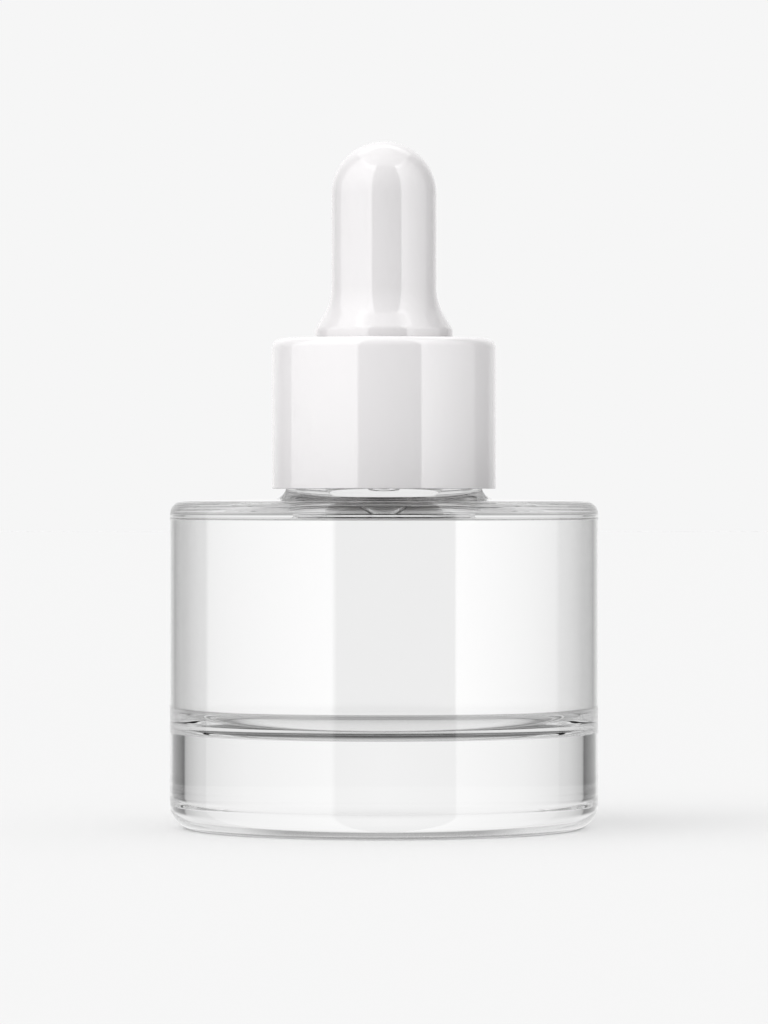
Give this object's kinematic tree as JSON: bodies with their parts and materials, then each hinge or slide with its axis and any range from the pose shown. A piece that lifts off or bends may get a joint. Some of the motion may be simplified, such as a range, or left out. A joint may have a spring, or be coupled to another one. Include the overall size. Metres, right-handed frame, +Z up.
{
  "type": "dropper bottle",
  "caption": "Clear glass bottle with a heavy base, flat shoulder and screw-on dropper closure: white collar, hollow white bulb and a short glass pipette.",
  "frame": {"origin": "centre of the resting plane, under the bottle's base", "axes": "+Z up along the bottle's axis, -Y towards the viewer of the picture, +X to the viewer's right"},
  "size_m": [0.046, 0.046, 0.0737],
  "materials": {
    "clear_glass": "polished, clear and colourless",
    "wiper_plastic": "translucent natural polyethylene, smooth",
    "tube_glass": "clear drawn tube, fire polished",
    "bulb_rubber": "white moulded rubber with a smooth gloss",
    "washer_foam": "soft white polyethylene",
    "insert_plastic": "white moulded polypropylene, satin",
    "collar_plastic": "white, high gloss, moulded"
  },
  "bodies": {
    "bottle": {"glass_bottle": "clear_glass", "neck_wiper": "wiper_plastic"},
    "dropper": {"glass_pipette": "tube_glass", "sealing_washer": "washer_foam"},
    "closure": {"inner_cap": "insert_plastic", "collar_shell": "collar_plastic"},
    "bulb": {"rubber_bulb": "bulb_rubber"}
  },
  "joints": [
    {"name": "dropper_lift", "type": "slide", "parent": "bottle", "child": "dropper", "axis": [0, 0, 1], "range_m": [0, 0.025]},
    {"name": "closure_turn", "type": "hinge", "parent": "dropper", "child": "closure", "pos_m": [0, 0, 0.0525], "axis": [0, 0, 1], "range_deg": [0, 540]},
    {"name": "bulb_press", "type": "slide", "parent": "dropper", "child": "bulb", "axis": [0, 0, -1], "range_m": [0, 0.005], "stiffness_N_per_m": 400, "deforming": ["rubber_bulb"]}
  ]
}
